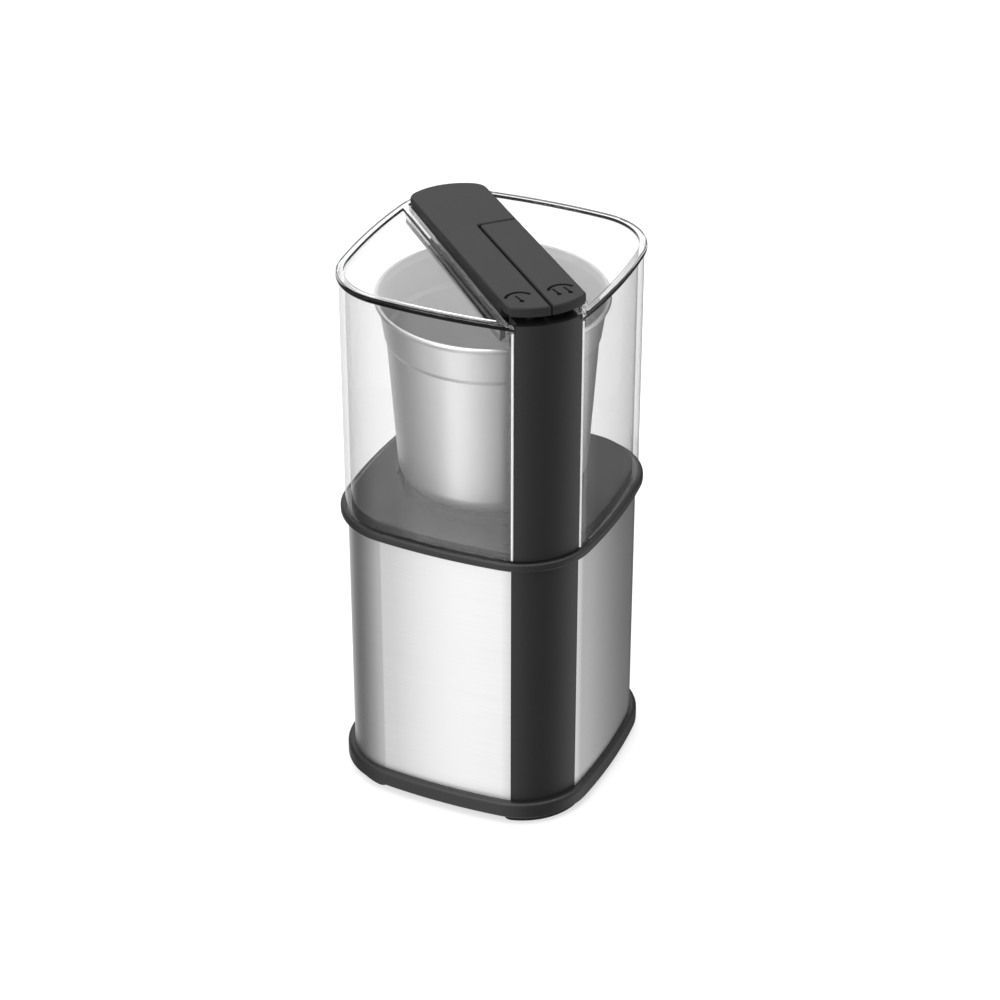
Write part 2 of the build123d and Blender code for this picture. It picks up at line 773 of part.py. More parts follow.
with BuildPart() as field_coils:
    for middle in coil_middle_angles:
        start = middle - coil_half_angle
        sweep_arc = CenterArc((0, 0), coil_radius, start, 2 * coil_half_angle, mode=Mode.PRIVATE)
        with BuildSketch(Plane.XY.offset(stack_top), Plane.XY.offset(stack_bottom - coil_height)):
            SlotArc(sweep_arc, coil_width)
        extrude(amount=coil_height)
        with BuildSketch(Plane.XY.offset(stack_bottom)):
            with Locations(sweep_arc @ 0, sweep_arc @ 1):
                Circle(coil_width / 2)
        extrude(amount=stack_height)
keep(field_coils, "field_coils")

with BuildPart() as motor_top_bracket:
    with BuildSketch(Plane.XY.offset(bracket_bottom)):
        Circle(bracket_radius)
        with PolarLocations(leg_circle_radius, 2, 90):
            Circle(bracket_window_radius, mode=Mode.SUBTRACT)
        with PolarLocations(boss_circle_radius, 4, 45):
            Circle(screw_radius + seat_clearance, mode=Mode.SUBTRACT)
    extrude(amount=bracket_thickness)
    with Locations((0, 0, bracket_top)):
        Cylinder(bearing_radius + bearing_wall, bearing_height + bearing_wall, align=AT_TOP)
    with BuildSketch(Plane.XY.offset(bracket_bottom)):
        with PolarLocations(leg_circle_radius, 2):
            Circle(leg_radius)
    extrude(amount=-upper_leg)
    with BuildSketch(Plane.XY.offset(bracket_top)):
        with PolarLocations(leg_circle_radius, 2):
            Circle(screw_radius + seat_clearance)
    extrude(amount=-(bracket_top - stack_top), mode=Mode.SUBTRACT)
    with Locations((0, 0, bracket_top)):
        Cylinder(bearing_radius + running_clearance, bearing_height, align=AT_TOP, mode=Mode.SUBTRACT)
        Cylinder(shaft_radius + moving_clearance, 2 * bracket_top, mode=Mode.SUBTRACT)
keep(motor_top_bracket, "motor_top_bracket")

with BuildPart() as motor_bottom_bracket:
    with BuildSketch(Plane.XY.offset(lower_bracket_bottom)):
        SlotOverall(2 * (leg_circle_radius + leg_radius + bracket_bar_margin), bracket_bar_width)
    extrude(amount=bracket_thickness)
    with Locations((0, 0, lower_bracket_top)):
        Cylinder(bearing_radius + bearing_wall, bearing_height + bearing_wall, align=AT_TOP)
    with BuildSketch(Plane.XY.offset(lower_bracket_top)):
        with PolarLocations(leg_circle_radius, 2):
            Circle(leg_radius)
    extrude(amount=lower_leg)
    with BuildSketch(Plane.XY.offset(lower_bracket_bottom)):
        with PolarLocations(leg_circle_radius, 2):
            Circle(screw_radius + seat_clearance)
    extrude(amount=stack_bottom - lower_bracket_bottom, mode=Mode.SUBTRACT)
    with Locations((0, 0, lower_bracket_top - bearing_height - bearing_wall)):
        Cylinder(bearing_radius + running_clearance, bearing_height, align=AT_BOTTOM, mode=Mode.SUBTRACT)
        Cylinder(shaft_radius + moving_clearance, 2 * bracket_top, mode=Mode.SUBTRACT)
keep(motor_bottom_bracket, "motor_bottom_bracket")

with BuildPart() as upper_bearing:
    with Locations((0, 0, bracket_top - bearing_height)):
        Ring(bearing_radius, shaft_radius + running_clearance, bearing_height)
keep(upper_bearing, "upper_bearing")

with BuildPart() as lower_bearing:
    with Locations((0, 0, lower_bracket_top - bearing_height - bearing_wall)):
        Ring(bearing_radius, shaft_radius + running_clearance, bearing_height)
keep(lower_bearing, "lower_bearing")

brush_start = commutator_radius + brush_gap
holder_start = brush_start + holder_wall
holder_length = leg_circle_radius - leg_radius - holder_leg_gap - holder_start
brush_length = holder_length - brush_end_gap
brush_level = lower_bracket_top + holder_wall + brush_size / 2
holder_size = brush_size + 2 * holder_wall
with BuildPart() as brush_holders:
    with PolarLocations(holder_start, 2):
        with Locations((holder_length / 2, 0, brush_level)):
            Box(holder_length, holder_size, holder_size)
            Box(
                holder_length + overrun,
                brush_size + seat_clearance,
                brush_size + seat_clearance,
                mode=Mode.SUBTRACT,
            )
keep(brush_holders, "brush_holders")

with BuildPart() as carbon_brushes:
    with PolarLocations(brush_start, 2):
        with Locations((brush_length / 2, 0, brush_level)):
            Box(brush_length, brush_size, brush_size)
keep(carbon_brushes, "carbon_brushes")

with BuildPart() as motor_bolts:
    with Locations((0, 0, lower_bracket_bottom)):
        with PolarLocations(leg_circle_radius, 2):
            Screw(screw_radius, bracket_top - lower_bracket_bottom, screw_head_radius, screw_head_height)
keep(motor_bolts, "motor_bolts")

with BuildPart() as motor_dampers:
    with Locations((0, 0, bracket_top)):
        with PolarLocations(boss_circle_radius, 4, 45):
            Ring(boss_radius, screw_radius + seat_clearance, damper_height)
keep(motor_dampers, "motor_dampers")

motor_screw_length = bracket_thickness + damper_height + motor_screw_grip
with BuildPart() as motor_screws:
    with Locations((0, 0, bracket_bottom)):
        with PolarLocations(boss_circle_radius, 4, 45):
            Screw(screw_radius, motor_screw_length, screw_head_radius, screw_head_height)
keep(motor_screws, "motor_screws")

# Plungers, switches with their leaves, holder and capacitor
guide_bottom = deck_underside - plunger_guide_depth
collar_top = guide_bottom - moving_clearance
plunger_top = ring_top - plunger_recess
plunger_bottom = collar_top - rod_collar_height - plunger_tip_length
switch_top = plunger_bottom - switch_drop


def plunger_at(place):
    """A plunger under one rod hole: pin, collar and tip."""
    with BuildPart() as plunger:
        with Locations((*place, plunger_top)):
            Cylinder(rod_radius, plunger_top - collar_top, align=AT_TOP)
        with Locations((*place, collar_top)):
            Cylinder(rod_collar_radius, rod_collar_height, align=AT_TOP)
        with Locations((*place, plunger_bottom)):
            Cylinder(plunger_tip_radius, plunger_tip_length, align=AT_BOTTOM)
    return plunger


grind_plunger = plunger_at(rod_places[0])
keep(grind_plunger, "grind_plunger")
pulse_plunger = plunger_at(rod_places[1])
keep(pulse_plunger, "pulse_plunger")

switch_middle = -rod_offset - rod_collar_radius + switch_length / 2
holder_half = rod_spacing / 2 - switch_width / 2 - holder_plate_gap
screw_places = [switch_middle + share * switch_length for share in switch_screw_shares]


def switch_at(place):
    """A switch body under one plunger, with the two cross holes of its screws."""
    with BuildPart() as switch:
        with Locations((place[0], switch_middle, switch_top)):
            Box(switch_width, switch_length, switch_height, align=AT_TOP)
        with BuildSketch(Plane.YZ):
            with Locations(*[(y, switch_top - switch_height / 2) for y in screw_places]):
                Circle(small_screw_radius + seat_clearance)
        extrude(amount=half_diagonal, both=True, mode=Mode.SUBTRACT)
    return switch


def leaf_at(place):
    """The spring leaf on a switch, rising from its root to the plunger's tip."""
    leaf_top = plunger_bottom - moving_clearance
    root_end = switch_middle + switch_length / 2
    root_start = root_end - leaf_root_share * switch_length
    free_end = switch_middle - switch_length / 2
    with BuildPart() as leaf:
        with BuildSketch(Plane.YZ.offset(place[0])):
            with BuildLine():
                Polyline(
                    (root_end, switch_top),
                    (root_end, switch_top + leaf_thickness),
                    (root_start, switch_top + leaf_thickness),
                    (free_end, leaf_top),
                    (free_end, leaf_top - leaf_thickness),
                    (root_start, switch_top),
                    close=True,
                )
            make_face()
        extrude(amount=leaf_width / 2, both=True)
    return leaf


grind_switch = switch_at(rod_places[0])
keep(grind_switch, "grind_switch")
pulse_switch = switch_at(rod_places[1])
keep(pulse_switch, "pulse_switch")
grind_switch_leaf = leaf_at(rod_places[0])
keep(grind_switch_leaf, "grind_switch_leaf")
pulse_switch_leaf = leaf_at(rod_places[1])
keep(pulse_switch_leaf, "pulse_switch_leaf")

with BuildPart() as switch_holder:
    with Locations((0, switch_middle, switch_top - switch_height)):
        Box(2 * holder_half, switch_length, bowl_underside - switch_top + switch_height, align=AT_BOTTOM)
    with BuildSketch(Plane.YZ):
        with Locations(*[(y, switch_top - switch_height / 2) for y in screw_places]):
            Circle(small_screw_radius + seat_clearance)
    extrude(amount=half_diagonal, both=True, mode=Mode.SUBTRACT)
keep(switch_holder, "switch_holder")

with BuildPart() as switch_screws:
    switch_side = rod_spacing / 2 + switch_width / 2
    with Locations(*[(-switch_side, y, switch_top - switch_height / 2) for y in screw_places]):
        Screw(small_screw_radius, 2 * switch_side, small_head_radius, small_head_height, rotation=(0, 90, 0))
keep(switch_screws, "switch_screws")

with BuildPart() as suppression_capacitor:
    with Locations((0, capacitor_offset, foot_height + tray_floor)):
        Box(capacitor_length, capacitor_width, capacitor_height, align=AT_BOTTOM)
    fillet(suppression_capacitor.edges().filter_by(Axis.Z), capacitor_round)
keep(suppression_capacitor, "suppression_capacitor")

# Clear lid: cap with a beaded rim, a sunk trough for the lever and a slot for the pillar
lid_bottom = ring_top + moving_clearance
plate_top = rim_top - bead_rise
trough_floor = rim_top - trough_depth
arm_body_half_width = arm_half_width - arm_lip_width
trough_half_width = arm_body_half_width + trough_gap
pillar_lap_inset = lid_wall_inset + pillar_lap_share * lid_wall
pillar_core_width = pillar_width - 2 * pillar_lap_width
lap_slot_width = pillar_width + 2 * seat_clearance
chassis_screw_places = [
    (side * chassis_screw_offset, end * chassis_screw_reach) for side in (-1, 1) for end in (-1, 1)
]
with BuildPart() as lid_shell:
    with BuildSketch(Plane.XY.offset(lid_bottom)):
        BodyOutline(lid_wall_inset)
    extrude(amount=plate_top - lid_bottom)
    with BuildSketch(Plane.XY.offset(rim_top)):
        BodyOutline(0)
    extrude(amount=-bead_height)
    fillet(lid_shell.edges().group_by(Axis.Z)[-1], bead_round)
    fillet(lid_shell.faces().filter_by(Axis.Z).sort_by(Axis.Z)[-2].outer_wire().edges(), bead_round)
    with BuildSketch(Plane.XY.offset(plate_top)):
        BodyOutline(bead_width)
        with Locations((trough_half_width + bead_width / 2, 0), (-trough_half_width - bead_width / 2, 0)):
            Rectangle(bead_width, 2 * half_diagonal, mode=Mode.SUBTRACT)
    extrude(amount=bead_rise, mode=Mode.SUBTRACT)
    with BuildSketch(Plane.XY.offset(lid_bottom)):
        BodyOutline(lid_inner)
    extrude(amount=plate_top - lid_wall - lid_bottom, mode=Mode.SUBTRACT)
    with BuildSketch(Plane.XY.offset(trough_floor - trough_wall)):
        BodyOutline(lid_wall_inset + lid_wall / 2)
        Rectangle(2 * (trough_half_width + trough_wall), 2 * half_diagonal, mode=Mode.INTERSECT)
    extrude(amount=plate_top - trough_floor)
    with BuildSketch(Plane.XY.offset(trough_floor)):
        BodyOutline(lid_inner)
        Rectangle(2 * trough_half_width, 2 * half_diagonal, mode=Mode.INTERSECT)
    extrude(amount=trough_depth, mode=Mode.SUBTRACT)
    with BuildSketch(Plane.XY.offset(trough_floor)):
        with Locations(*chassis_screw_places):
            Circle(chassis_boss_radius)
    extrude(amount=-chassis_boss_depth - trough_wall)
    with BuildSketch(Plane.XY.offset(trough_floor)):
        with Locations(*chassis_screw_places):
            Circle(small_screw_radius + seat_clearance)
    extrude(amount=-chassis_boss_depth, mode=Mode.SUBTRACT)
    with BuildSketch(Plane.XY.offset(plate_top)):
        Rectangle(2 * trough_half_width, half_diagonal, align=FRONT_HALF)
    extrude(amount=bead_rise, mode=Mode.SUBTRACT)
    with BuildSketch(Plane.XY.offset(lid_bottom)):
        BodyWall(-overrun, pillar_lap_inset + seat_clearance + overrun)
        with Locations((0, -pillar_back)):
            Rectangle(lap_slot_width, half_diagonal, align=FRONT_HALF, mode=Mode.INTERSECT)
        with Locations((0, -pillar_back + seat_clearance)):
            Rectangle(pillar_core_width + 2 * seat_clearance, half_diagonal, align=FRONT_HALF)
    extrude(amount=lid_height, mode=Mode.SUBTRACT)
keep(lid_shell, "lid_shell")

# Front pillar: guides both push rods, laps over the clear wall's edges, with a cover at its back
pillar_top = rim_top - pillar_top_drop
lower_guide_top = lid_bottom + lower_guide_height
upper_guide_bottom = pillar_top - upper_guide_height
cover_width = pillar_width - 2 * pillar_cover_margin
channel_width = cover_width - 2 * pillar_cover_margin
cover_bottom = lower_guide_top - lower_guide_height / 2
cover_top = upper_guide_bottom + lower_guide_height / 2
cover_screw_places = [(0, (cover_bottom + lower_guide_top) / 2), (0, (cover_top + upper_guide_bottom) / 2)]
PILLAR_BACK_PLANE = Plane(origin=(0, -pillar_back, 0), x_dir=(-1, 0, 0), z_dir=(0, 1, 0))
with BuildPart() as front_pillar:
    with BuildSketch(Plane.XY.offset(lid_bottom)):
        BodyOutline(lid_wall_inset)
        with Locations((0, -pillar_back)):
            Rectangle(pillar_core_width, half_diagonal, align=FRONT_HALF, mode=Mode.INTERSECT)
    extrude(amount=pillar_top - lid_bottom)
    with BuildSketch(Plane.XY.offset(lid_bottom)):
        BodyWall(lid_wall_inset, pillar_lap_inset - lid_wall_inset)
        with Locations((0, -pillar_back)):
            Rectangle(pillar_width, half_diagonal, align=FRONT_HALF, mode=Mode.INTERSECT)
    extrude(amount=pillar_top - lid_bottom)
    with BuildSketch(Plane.XY.offset(lower_guide_top)):
        BodyOutline(lid_wall_inset + pillar_wall)
        with Locations((0, -pillar_back + overrun)):
            Rectangle(channel_width, half_diagonal, align=FRONT_HALF, mode=Mode.INTERSECT)
    extrude(amount=upper_guide_bottom - lower_guide_top, mode=Mode.SUBTRACT)
    with BuildSketch(PILLAR_BACK_PLANE):
        with Locations((0, (cover_bottom + cover_top) / 2)):
            Rectangle(cover_width, cover_top - cover_bottom)
    extrude(amount=-pillar_cover_thickness, mode=Mode.SUBTRACT)
    with BuildSketch(PILLAR_BACK_PLANE):
        with Locations(*cover_screw_places):
            Circle(small_screw_radius + seat_clearance)
    extrude(amount=-pillar_screw_length - moving_clearance, mode=Mode.SUBTRACT)
    with BuildSketch(Plane.XY.offset(lid_bottom)):
        with Locations(*rod_places):
            Circle(rod_bore)
    extrude(amount=lid_height, mode=Mode.SUBTRACT)
keep(front_pillar, "front_pillar")

with BuildPart() as pillar_cover:
    with BuildSketch(PILLAR_BACK_PLANE):
        with Locations((0, (cover_bottom + cover_top) / 2)):
            Rectangle(cover_width - 2 * seat_clearance, cover_top - cover_bottom - 2 * seat_clearance)
        with Locations(*cover_screw_places):
            Circle(small_screw_radius + seat_clearance, mode=Mode.SUBTRACT)
    extrude(amount=-pillar_cover_thickness)
keep(pillar_cover, "pillar_cover")

with BuildPart() as pillar_screws:
    with Locations(*[(0, -pillar_back, z) for _, z in cover_screw_places]):
        Screw(
            small_screw_radius,
            pillar_screw_length,
            small_head_radius,
            pillar_head_height,
            rotation=(90, 0, 0),
        )
keep(pillar_screws, "pillar_screws")

# Push rods with their collars, and the springs that lift them
arm_front_underside = pillar_top + arm_front_gap
rod_top = arm_front_underside - moving_clearance
rod_bottom = plunger_top + moving_clearance
spring_bottom = lower_guide_top
rod_collar_bottom = spring_bottom + rod_spring_length


def rod_at(place):
    """A push rod from the arm down to its plunger, with the collar that its spring lifts."""
    with BuildPart() as rod:
        with Locations((*place, rod_bottom)):
            Cylinder(rod_radius, rod_top - rod_bottom, align=AT_BOTTOM)
        with Locations((*place, rod_collar_bottom)):
            Cylinder(rod_collar_radius, rod_collar_height, align=AT_BOTTOM)
    return rod


def spring_at(place):
    """The plain sleeve that stands for a rod's spring, hidden in the pillar."""
    with BuildPart() as spring:
        with Locations((*place, spring_bottom)):
            Ring(rod_collar_radius, rod_collar_radius - rod_spring_wire, rod_spring_length)
    return spring


grind_rod = rod_at(rod_places[0])
keep(grind_rod, "grind_rod")
pulse_rod = rod_at(rod_places[1])
keep(pulse_rod, "pulse_rod")
grind_rod_spring = spring_at(rod_places[0])
keep(grind_rod_spring, "grind_rod_spring")
pulse_rod_spring = spring_at(rod_places[1])
keep(pulse_rod_spring, "pulse_rod_spring")

# Lever chassis in the trough, with the lugs of both hinge pins
chassis_top = trough_floor + chassis_thickness
pin_level = trough_floor + pin_rise
arm_bottom = rim_top - arm_depth
ceiling = rim_top + arm_rear_rise - arm_ceiling
lever_lugs = (-lever_lug_offset, lever_lug_offset)
lever_ears = [math.copysign(abs(x) + lug_thickness + lug_gap, x) for x in lever_lugs]
key_lugs = (key_lug_offset - key_lug_spacing / 2, key_lug_offset + key_lug_spacing / 2)
key_ears = (key_lugs[0] - lug_thickness - lug_gap, key_lugs[1] + lug_thickness + lug_gap)


class HingeLug(BasePartObject):
    """An upright lug across a hinge pin, from a foot level to the round end about the pin."""

    def __init__(self, x, y, foot, bore, mode=Mode.ADD):
        with BuildPart() as lug:
            with BuildSketch(Plane.YZ.offset(x)):
                with Locations((y, pin_level)):
                    Circle(lug_radius)
                with Locations((y, (foot + pin_level) / 2)):
                    Rectangle(2 * lug_radius, abs(foot - pin_level))
                with Locations((y, pin_level)):
                    Circle(bore, mode=Mode.SUBTRACT)
            extrude(amount=lug_thickness / 2, both=True)
        super().__init__(part=lug.part, mode=mode)


pin_bore = pin_radius + running_clearance
with BuildPart() as lever_chassis:
    with BuildSketch(Plane.XY.offset(trough_floor)):
        BodyOutline(lid_inner + seat_clearance)
        Rectangle(2 * chassis_half_width, 2 * half_diagonal, mode=Mode.INTERSECT)
        with Locations((0, -pillar_back + seat_clearance)):
            Rectangle(2 * half_diagonal, half_diagonal, align=FRONT_HALF, mode=Mode.SUBTRACT)
        with Locations(*chassis_screw_places):
            Circle(small_screw_radius + seat_clearance, mode=Mode.SUBTRACT)
    extrude(amount=chassis_thickness)
    for x in lever_lugs:
        HingeLug(x, lever_pin_offset, trough_floor + seat_clearance, pin_bore)
    for x in key_lugs:
        HingeLug(x, key_pin_offset, trough_floor + seat_clearance, pin_bore)
keep(lever_chassis, "lever_chassis")

with BuildPart() as chassis_screws:
    with Locations(*[(*place, chassis_top) for place in chassis_screw_places]):
        Screw(
            small_screw_radius,
            chassis_thickness + chassis_boss_depth,
            small_head_radius,
            small_head_height,
            rotation=(180, 0, 0),
        )
keep(chassis_screws, "chassis_screws")

with BuildPart() as lever_pin:
    with BuildSketch(Plane.YZ):
        with Locations((lever_pin_offset, pin_level)):
            Circle(pin_radius)
    extrude(amount=lever_ears[1] + lug_thickness / 2, both=True)
keep(lever_pin, "lever_pin")

with BuildPart() as key_pin:
    with BuildSketch(Plane.YZ.offset(key_ears[0] - lug_thickness / 2)):
        with Locations((key_pin_offset, pin_level)):
            Circle(pin_radius)
    extrude(amount=key_ears[1] - key_ears[0] + lug_thickness)
keep(key_pin, "key_pin")

# Lever and key: one bar with lips along its sides, cut by an L-shaped seam, hollow behind the pillar
arm_deep_front = pillar_back - overrun


class ArmSide(BaseSketchObject):
    """The arm seen from its side: level underside, thin front and a top that rises to the front."""

    def __init__(self, mode=Mode.ADD):
        with BuildSketch() as side:
            with BuildLine():
                Polyline(
                    (-half_diagonal, arm_front_underside),
                    (-arm_deep_front, arm_front_underside),
                    (-arm_deep_front, arm_bottom),
                    (half_diagonal, arm_bottom),
                    (half_diagonal, rim_top + arm_rear_rise),
                    (-half_diagonal, rim_top + arm_front_rise),
                    close=True,
                )
            make_face()
        super().__init__(obj=side.sketch, mode=mode)


class ArmCap(BaseSketchObject):
    """The wide top of the arm from its side, an even band whose lips hang over the trough's edges."""

    def __init__(self, mode=Mode.ADD):
        with BuildSketch() as band:
            with BuildLine():
                Polyline(
                    (-half_diagonal, rim_top + arm_front_rise - arm_lip_height),
                    (half_diagonal, rim_top + arm_rear_rise - arm_lip_height),
                    (half_diagonal, rim_top + arm_rear_rise),
                    (-half_diagonal, rim_top + arm_front_rise),
                    close=True,
                )
            make_face()
        super().__init__(obj=band.sketch, mode=mode)


class KeyCorner(BaseSketchObject):
    """The part of the arm's plan that belongs to the key, grown or shrunk about the seam."""

    def __init__(self, growth, mode=Mode.ADD):
        with BuildSketch() as corner:
            with Locations((-growth, seam_offset + growth)):
                Rectangle(half_diagonal, 2 * half_diagonal, align=(Align.MIN, Align.MAX))
            fillet(corner.vertices().group_by(Axis.Y)[-1].sort_by(Axis.X)[0], seam_round)
        super().__init__(obj=corner.sketch, mode=mode)


class ArmPiece(BasePartObject):
    """One half of the arm, cut to its own plan and hollowed from below."""

    def __init__(self, growth, seam_mode, mode=Mode.ADD):
        with BuildPart() as piece:
            with BuildSketch(Plane.YZ):
                ArmSide()
            extrude(amount=arm_body_half_width, both=True)
            with BuildSketch(Plane.YZ):
                ArmCap()
            extrude(amount=arm_half_width, both=True)
            with BuildSketch():
                ArmPlan()
                KeyCorner(growth, mode=seam_mode)
            extrude(amount=2 * rim_top, mode=Mode.INTERSECT)
            fillet(piece.faces().sort_by(Axis.Z)[-1].edges(), arm_edge_round)
            with BuildSketch(Plane.XY.offset(arm_bottom)):
                ArmPlan()
                KeyCorner(growth, mode=seam_mode)
                offset(amount=-arm_wall)
                Rectangle(2 * (arm_body_half_width - arm_wall), 2 * half_diagonal, mode=Mode.INTERSECT)
                with Locations((0, -arm_deep_front + arm_wall)):
                    Rectangle(2 * half_diagonal, half_diagonal, align=FRONT_HALF, mode=Mode.SUBTRACT)
            extrude(amount=ceiling - arm_bottom, mode=Mode.SUBTRACT)
        super().__init__(part=piece.part, mode=mode)


with BuildPart() as grind_lever:
    ArmPiece(seam_gap / 2, Mode.SUBTRACT)
    for x in lever_ears:
        HingeLug(x, lever_pin_offset, ceiling + arm_ceiling / 2, pin_bore)
keep(grind_lever, "grind_lever")

with BuildPart() as pulse_key:
    ArmPiece(-seam_gap / 2, Mode.INTERSECT)
    for x in key_ears:
        HingeLug(x, key_pin_offset, ceiling + arm_ceiling / 2, pin_bore)
keep(pulse_key, "pulse_key")
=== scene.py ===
"""Looks of the electric coffee grinder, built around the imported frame."""

import json
import math

import bmesh
import bpy
from mathutils import Matrix, Vector


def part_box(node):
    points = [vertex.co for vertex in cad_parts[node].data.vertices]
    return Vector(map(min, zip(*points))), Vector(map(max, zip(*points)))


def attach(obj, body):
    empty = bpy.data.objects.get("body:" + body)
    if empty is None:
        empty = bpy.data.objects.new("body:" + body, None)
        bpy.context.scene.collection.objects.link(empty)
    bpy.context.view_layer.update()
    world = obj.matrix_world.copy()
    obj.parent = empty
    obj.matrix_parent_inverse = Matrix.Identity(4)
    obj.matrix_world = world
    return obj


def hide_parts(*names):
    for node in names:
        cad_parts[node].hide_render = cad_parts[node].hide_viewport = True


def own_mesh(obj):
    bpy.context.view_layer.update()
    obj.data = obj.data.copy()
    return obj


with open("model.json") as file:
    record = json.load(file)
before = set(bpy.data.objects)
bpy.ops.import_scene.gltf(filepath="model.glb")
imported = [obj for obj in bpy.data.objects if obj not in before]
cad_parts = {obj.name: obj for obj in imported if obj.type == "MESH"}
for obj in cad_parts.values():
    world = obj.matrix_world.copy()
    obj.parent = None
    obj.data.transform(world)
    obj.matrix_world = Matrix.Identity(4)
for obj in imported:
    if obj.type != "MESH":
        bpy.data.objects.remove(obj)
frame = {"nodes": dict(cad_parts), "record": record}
NODES = frame["nodes"]
SLOTS = {part["node"]: part["material_slot"] for part in frame["record"]["subparts"]}
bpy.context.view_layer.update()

# Values that several sections share
ORIGIN = Vector((0, 0))
UP = Vector((0, 0, 1))
FULL_TURN = 2 * math.pi
WHITE = (1.0, 1.0, 1.0, 1.0)


def linear(value):
    """Linear light of an sRGB grey from 0 to 255, by the constants of that standard."""
    share = value / 255
    return share / 12.92 if share <= 0.04045 else ((share + 0.055) / 1.055) ** 2.4


def even(light):
    """Colour with the same light in red, green and blue."""
    return (light, light, light, 1.0)


def grey(value):
    """Colour of an sRGB grey from 0 to 255."""
    return even(linear(value))


def show(name, data):
    """Put a mesh, a lamp or a camera into the scene."""
    made = bpy.data.objects.new(name, data)
    bpy.context.scene.collection.objects.link(made)
    return made


class Net:
    """A node tree under construction, with short calls for its nodes."""

    def __init__(self, tree, output):
        self.tree = tree
        self.output = tree.nodes[output]

    def node(self, kind, **values):
        """A new node, with its sockets and settings filled in by name."""
        made = self.tree.nodes.new(kind)
        for name, value in values.items():
            socket = name.replace("_", " ")
            if socket in made.inputs:
                made.inputs[socket].default_value = value
            else:
                setattr(made, name, value)
        return made

    def link(self, out, into):
        self.tree.links.new(out, into)

    def blend(self, share, first, second):
        """Show the first shader, and the second where the share is 1."""
        made = self.node("ShaderNodeMixShader")
        self.link(share, made.inputs["Fac"])
        self.link(first, made.inputs[1])
        self.link(second, made.inputs[2])
        self.link(made.outputs["Shader"], self.output.inputs["Surface"])


class Finish(Net):
    """A material under construction."""

    def __init__(self, name):
        self.material = bpy.data.materials.new(name)
        self.material.use_nodes = True
        super().__init__(self.material.node_tree, "Material Output")
        self.shader = self.tree.nodes["Principled BSDF"]

    def set(self, **values):
        """Plain values on the shader's sockets."""
        for name, value in values.items():
            self.shader.inputs[name.replace("_", " ")].default_value = value

    def feed(self, **outs):
        """Outputs of other nodes into the shader's sockets."""
        for name, out in outs.items():
            self.link(out, self.shader.inputs[name.replace("_", " ")])

    def place(self, scale=(1, 1, 1)):
        """Position on the part at rest, stretched by a scale."""
        where = self.node("ShaderNodeTexCoord")
        mapping = self.node("ShaderNodeMapping", Scale=scale)
        self.link(where.outputs["Object"], mapping.inputs["Vector"])
        return mapping.outputs["Vector"]

    def noise(self, vector, scale, detail=2.0, roughness=0.5):
        """Noise from 0 to 1, with so many grains to each unit of the place."""
        made = self.node("ShaderNodeTexNoise", Scale=scale, Detail=detail, Roughness=roughness)
        self.link(vector, made.inputs["Vector"])
        return made.outputs["Fac"]

    def reckon(self, operation, value, number):
        """Outcome of one maths operation on a socket's value and a plain number."""
        made = self.node("ShaderNodeMath", operation=operation)
        made.inputs[1].default_value = number
        self.link(value, made.inputs[0])
        return made.outputs["Value"]

    def spread(self, value, low, high):
        """Map a 0 to 1 value to a range."""
        made = self.node("ShaderNodeMapRange", To_Min=low, To_Max=high)
        self.link(value, made.inputs["Value"])
        return made.outputs["Result"]

    def tones(self, value, dark, light):
        """Colours between two tones."""
        made = self.node("ShaderNodeValToRGB")
        made.color_ramp.elements[0].color = dark
        made.color_ramp.elements[1].color = light
        self.link(value, made.inputs["Fac"])
        return made.outputs["Color"]

    def bump(self, height, strength, distance):
        """Normals tilted by a texture of heights."""
        made = self.node("ShaderNodeBump", Strength=strength, Distance=distance)
        self.link(height, made.inputs["Height"])
        return made.outputs["Normal"]

    def film(self, tint):
        """A shader that light passes straight through."""
        return self.node("ShaderNodeBsdfTransparent", Color=tint).outputs["BSDF"]

    def brush(self, anisotropy):
        """Draw highlights out across a brushing that runs round the upright axis."""
        around = self.node("ShaderNodeTangent", direction_type="RADIAL", axis="Z")
        self.set(Anisotropic=anisotropy, Anisotropic_Rotation=BRUSH_TURN)
        self.feed(Tangent=around.outputs["Tangent"])


# Textures: grains to the metre, and bump depths in metres
PLASTIC_GRAIN = 1800.0
PLASTIC_DRIFT = 38.0
CARBON_GRAIN = 2600.0
HAZE_GRAIN = 900.0
RUBBER_GRAIN = 1400.0
METAL_GRAIN = 900.0
METAL_PATCHES = 120.0
BLAST_GRAIN = 1500.0
WIRE_BANDS = 420.0
PLASTIC_DEPTH = 0.0002
METAL_DEPTH = 0.0001
BRUSH_DEPTH = 0.00008

# Character of the noise, the brushing and the gloss, as plain numbers
FINE_DETAIL = 3.0
BRUSH_DETAIL = 4.0
PLASTIC_RAGGED = 0.6
SPUN_RAGGED = 0.6
BRUSH_RAGGED = 0.65
BRUSH_TURN = 0.25
WIRE_WAVER = 1.5
BLAST_METAL = 0.35
PLASTIC_IOR = 1.49
GLOSS_POWER = 5.0


def moulded(name, dark, light, rough=(0.38, 0.5), grain=PLASTIC_GRAIN, strength=0.10, gloss=0.5):
    """Satin moulded plastic: fine eroded grain, faint tone drift."""
    finish = Finish(name)
    place = finish.place()
    drift = finish.noise(place, PLASTIC_DRIFT, FINE_DETAIL)
    fine = finish.noise(place, grain, roughness=PLASTIC_RAGGED)
    finish.set(Specular_IOR_Level=gloss)
    finish.feed(
        Base_Color=finish.tones(drift, dark, light),
        Roughness=finish.spread(fine, *rough),
        Normal=finish.bump(fine, strength, PLASTIC_DEPTH),
    )
    return finish.material


